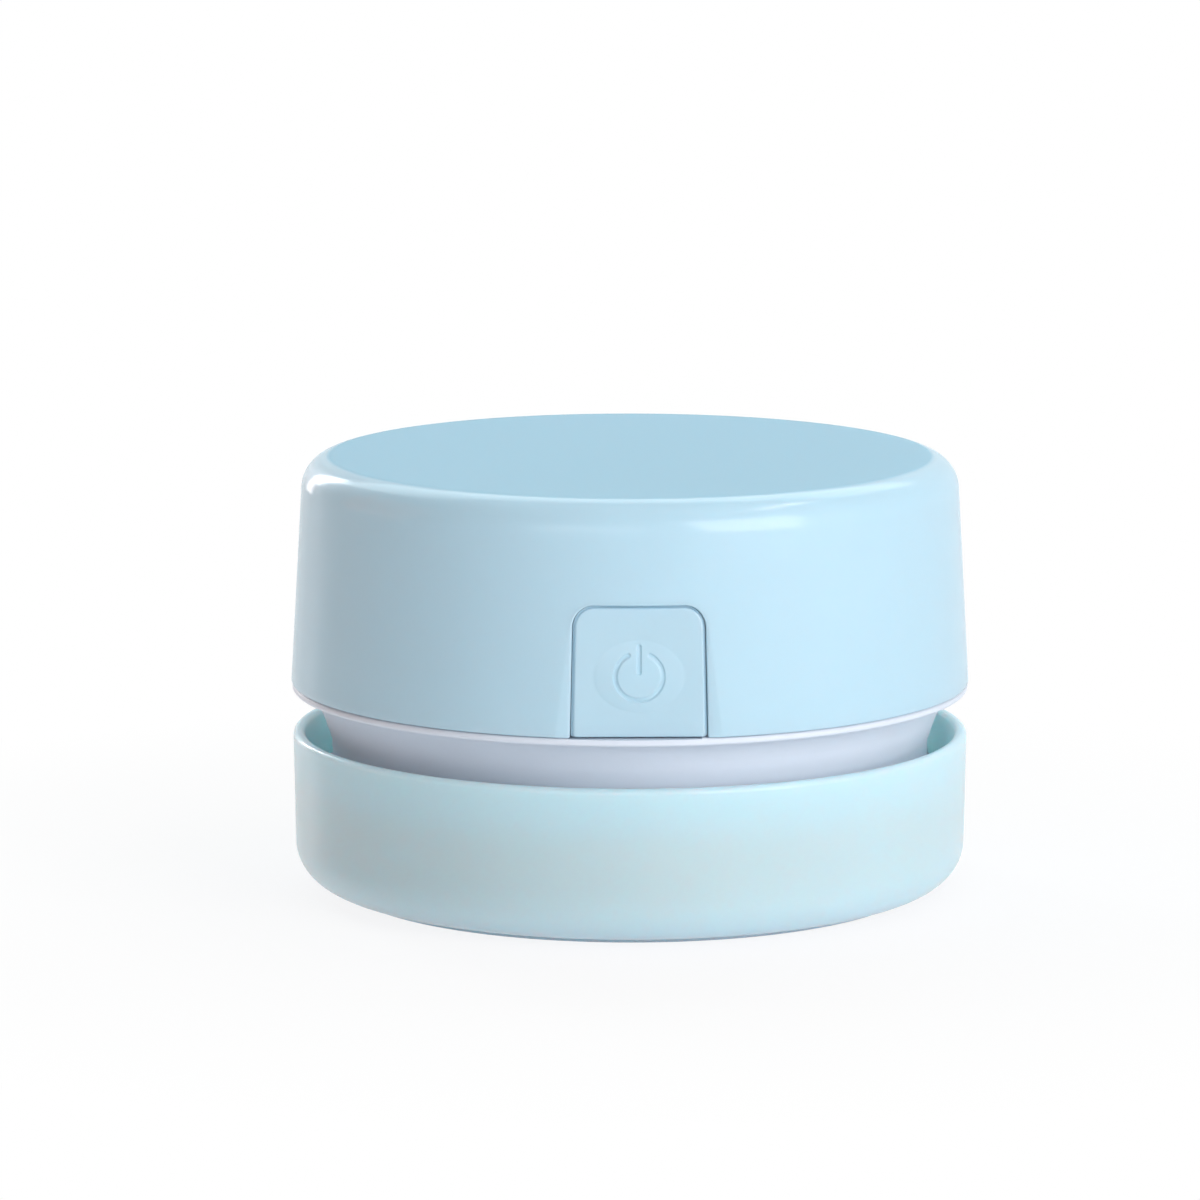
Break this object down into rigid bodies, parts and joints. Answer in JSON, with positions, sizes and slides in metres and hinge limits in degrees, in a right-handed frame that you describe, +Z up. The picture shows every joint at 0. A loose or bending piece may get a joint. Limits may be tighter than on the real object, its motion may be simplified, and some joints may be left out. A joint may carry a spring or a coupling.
{
  "type": "desktop mini vacuum cleaner",
  "caption": "Palm-sized drum-shaped desk vacuum: dust cup with brushed suction inlet, drop-in filter, and a motor head with a power key that plugs in above an open air slot.",
  "frame": {"origin": "centre of the foot ring, on the desk", "axes": "+Z up along the drum's axis, power key faces -Y, charging socket faces +Y, +X to the right as seen from the key"},
  "size_m": [0.0854, 0.0853, 0.0548],
  "materials": {
    "cover_plastic": "glossy pale blue moulding",
    "cup_plastic": "glossy paler blue moulding",
    "key_plastic": "satin pale blue moulding",
    "frame_plastic": "satin white moulding",
    "seal_rubber": "soft grey lip",
    "bristle_nylon": "dark grey nylon bristles",
    "filter_felt": "white filter felt",
    "steel": "plain steel",
    "brass": "plain brass",
    "copper": "copper wire and copper segments",
    "magnet": "dark ferrite",
    "black_plastic": "black moulding",
    "cell_wrap": "plain blue shrink wrap",
    "board": "green lacquered board",
    "plunger_plastic": "red moulding"
  },
  "bodies": {
    "cup": {"dust_cup": "cup_plastic", "brush_plate": "frame_plastic", "brush_strip_front": "bristle_nylon", "brush_strip_right": "bristle_nylon", "brush_strip_back": "bristle_nylon", "brush_strip_left": "bristle_nylon", "plate_screws": "steel"},
    "filter": {"filter_frame": "frame_plastic", "filter_cloth": "filter_felt"},
    "head": {"mid_frame": "frame_plastic", "neck_seal": "seal_rubber", "fan_guard": "frame_plastic", "top_cover": "cover_plastic", "cover_screws": "steel", "motor_can": "steel", "motor_cap": "black_plastic", "motor_magnets": "magnet", "motor_bushes": "brass", "motor_terminals": "brass", "motor_screws": "steel", "battery_cell": "cell_wrap", "battery_tabs": "steel", "battery_cradle": "black_plastic", "switch_board": "board", "switch_body": "black_plastic", "charge_board": "board", "charge_socket": "steel", "board_screws": "steel"},
    "key": {"power_key": "key_plastic"},
    "plunger": {"switch_plunger": "plunger_plastic"},
    "fan": {"fan_wheel": "frame_plastic", "motor_shaft": "steel", "armature": "steel", "windings": "copper", "commutator": "copper"}
  },
  "joints": [
    {"name": "filter_lift", "type": "slide", "parent": "cup", "child": "filter", "axis": [0, 0, 1], "range_m": [0, 0.045]},
    {"name": "head_lift", "type": "slide", "parent": "filter", "child": "head", "axis": [0, 0, 1], "range_m": [0, 0.03]},
    {"name": "key_press", "type": "slide", "parent": "head", "child": "key", "axis": [0, 1, 0], "range_m": [0, 0.0011], "stiffness_N_per_m": 300, "springref_m": -0.0005},
    {"name": "plunger_press", "type": "slide", "parent": "head", "child": "plunger", "axis": [0, 1, 0], "range_m": [0, 0.0011]},
    {"name": "fan_spin", "type": "hinge", "parent": "head", "child": "fan", "pos_m": [0, 0, 0.0178], "axis": [0, 0, 1], "continuous": true}
  ],
  "couplings": [
    {"joint": "plunger_press", "follows": "key_press", "ratio": 1}
  ]
}
